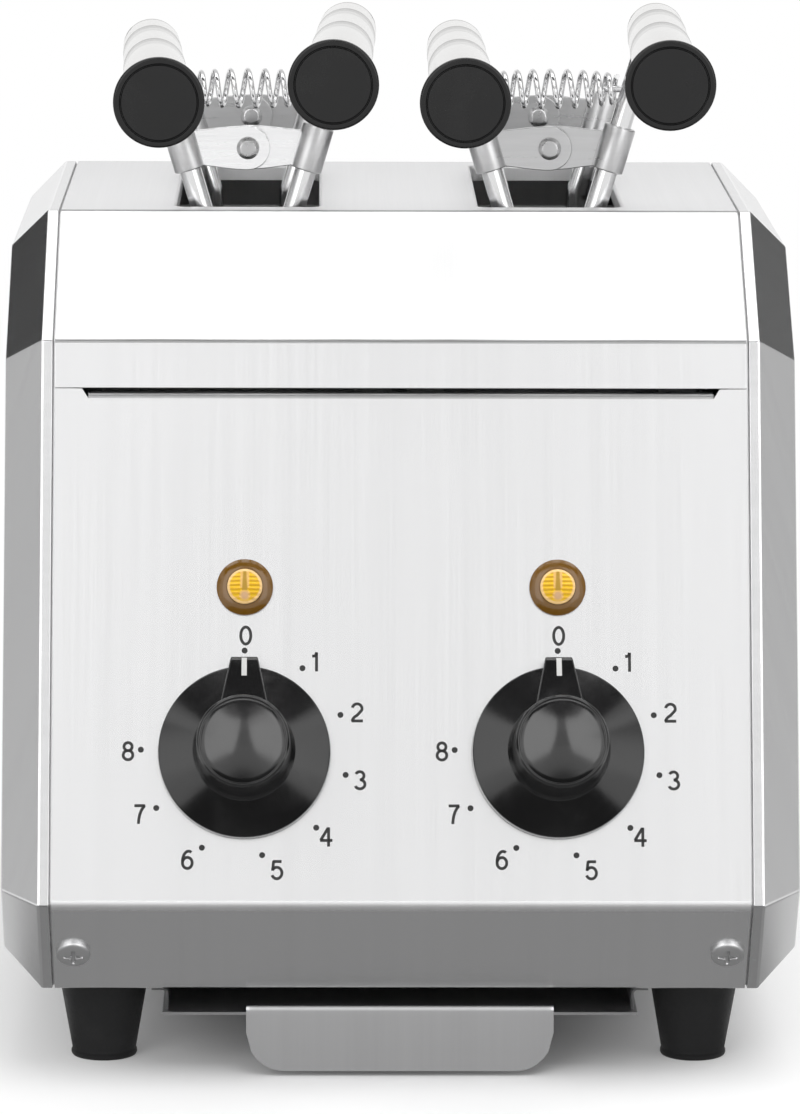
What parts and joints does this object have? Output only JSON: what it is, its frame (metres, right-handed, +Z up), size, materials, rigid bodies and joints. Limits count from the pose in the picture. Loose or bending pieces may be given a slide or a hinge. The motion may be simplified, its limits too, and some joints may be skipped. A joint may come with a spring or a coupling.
{
  "type": "sandwich toaster",
  "caption": "Stainless countertop toaster with open slots on top, lift-out spring tongs that hold bread or sandwiches, clockwork timer knobs, pilot lamps and a slide-out crumb tray.",
  "frame": {"origin": "on the table, under the middle of the overall box", "axes": "+Z up, +X to the right as seen from the front, the knobs and the tray flap face -Y"},
  "size_m": [0.227, 0.3422, 0.3018],
  "materials": {
    "shell_steel": "fine vertical brushing, satin",
    "inner_sheet": "plain mill sheet",
    "bright_wire": "plated wire and screws",
    "quartz": "milky quartz tube with ceramic ends",
    "pale_moulding": "plain moulding",
    "lamp_bezel": "dark amber moulding",
    "amber_lens": "ridged amber lens",
    "foot_rubber": "matt black rubber",
    "black_moulding": "black heat-proof moulding, glossy",
    "tray_steel": "satin sheet",
    "polished_steel": "polished wire and plate",
    "handle_metal": "polished tapered sleeve"
  },
  "bodies": {
    "case": {"hood": "shell_steel", "front_panel": "shell_steel", "rear_panel": "shell_steel", "side_cover_left": "shell_steel", "side_cover_right": "shell_steel", "base_plate": "inner_sheet", "reflector_left": "inner_sheet", "reflector_right": "inner_sheet", "reflector_centre": "inner_sheet", "element_brackets": "inner_sheet", "tray_runner_left": "inner_sheet", "tray_runner_right": "inner_sheet", "slot_guard_1": "bright_wire", "slot_guard_2": "bright_wire", "slot_guard_3": "bright_wire", "slot_guard_4": "bright_wire", "tong_rests": "bright_wire", "screws": "bright_wire", "heater_bank_1": "quartz", "heater_bank_2": "quartz", "heater_bank_3": "quartz", "heater_bank_4": "quartz", "timer_left": "pale_moulding", "timer_right": "pale_moulding", "lamp_bezel_left": "lamp_bezel", "lamp_bezel_right": "lamp_bezel", "lamp_lens_left": "amber_lens", "lamp_lens_right": "amber_lens", "feet": "foot_rubber", "cable_gland": "black_moulding", "terminal_block": "pale_moulding"},
    "knob_left": {"knob_left": "black_moulding", "timer_spindle_left": "bright_wire"},
    "knob_right": {"knob_right": "black_moulding", "timer_spindle_right": "bright_wire"},
    "tray": {"crumb_tray": "tray_steel"},
    "tong_left": {"tong_left_rivets": "polished_steel", "tong_left_spring": "polished_steel"},
    "tong_left_a": {"tong_left_rod_a": "polished_steel", "tong_left_grid_a": "polished_steel", "tong_left_plates_a": "polished_steel", "tong_left_sleeve_a": "handle_metal", "tong_left_cap_a": "black_moulding"},
    "tong_left_b": {"tong_left_rod_b": "polished_steel", "tong_left_grid_b": "polished_steel", "tong_left_plates_b": "polished_steel", "tong_left_sleeve_b": "handle_metal", "tong_left_cap_b": "black_moulding"},
    "tong_right": {"tong_right_rivets": "polished_steel", "tong_right_spring": "polished_steel"},
    "tong_right_a": {"tong_right_rod_a": "polished_steel", "tong_right_grid_a": "polished_steel", "tong_right_plates_a": "polished_steel", "tong_right_sleeve_a": "handle_metal", "tong_right_cap_a": "black_moulding"},
    "tong_right_b": {"tong_right_rod_b": "polished_steel", "tong_right_grid_b": "polished_steel", "tong_right_plates_b": "polished_steel", "tong_right_sleeve_b": "handle_metal", "tong_right_cap_b": "black_moulding"}
  },
  "joints": [
    {"name": "knob_left_turn", "type": "hinge", "parent": "case", "child": "knob_left", "pos_m": [-0.0444, -0.13552, 0.0955], "axis": [0, 0.9511, -0.309], "range_deg": [0, 272]},
    {"name": "knob_right_turn", "type": "hinge", "parent": "case", "child": "knob_right", "pos_m": [0.0444, -0.13552, 0.0955], "axis": [0, 0.9511, -0.309], "range_deg": [0, 272]},
    {"name": "tray_slide", "type": "slide", "parent": "case", "child": "tray", "axis": [0, -1, 0], "range_m": [0, 0.2]},
    {"name": "tong_left_lift", "type": "slide", "parent": "case", "child": "tong_left", "axis": [0, 0, 1], "range_m": [0, 0.2]},
    {"name": "tong_left_open_a", "type": "hinge", "parent": "tong_left", "child": "tong_left_a", "pos_m": [-0.0444, -0.03597, 0.2565], "axis": [0, 1, 0], "range_deg": [0, 5], "stiffness_Nm_per_rad": 1.5, "springref_deg": -17.19, "deforming": ["tong_left_spring"]},
    {"name": "tong_left_open_b", "type": "hinge", "parent": "tong_left", "child": "tong_left_b", "pos_m": [-0.0444, -0.03597, 0.2565], "axis": [0, -1, 0], "range_deg": [0, 5], "stiffness_Nm_per_rad": 1.5, "springref_deg": -17.19},
    {"name": "tong_right_lift", "type": "slide", "parent": "case", "child": "tong_right", "axis": [0, 0, 1], "range_m": [0, 0.2]},
    {"name": "tong_right_open_a", "type": "hinge", "parent": "tong_right", "child": "tong_right_a", "pos_m": [0.0444, -0.03597, 0.2565], "axis": [0, 1, 0], "range_deg": [0, 5], "stiffness_Nm_per_rad": 1.5, "springref_deg": -17.19, "deforming": ["tong_right_spring"]},
    {"name": "tong_right_open_b", "type": "hinge", "parent": "tong_right", "child": "tong_right_b", "pos_m": [0.0444, -0.03597, 0.2565], "axis": [0, -1, 0], "range_deg": [0, 5], "stiffness_Nm_per_rad": 1.5, "springref_deg": -17.19}
  ],
  "couplings": [
    {"joint": "tong_left_open_b", "follows": "tong_left_open_a", "ratio": 1},
    {"joint": "tong_right_open_b", "follows": "tong_right_open_a", "ratio": 1}
  ]
}
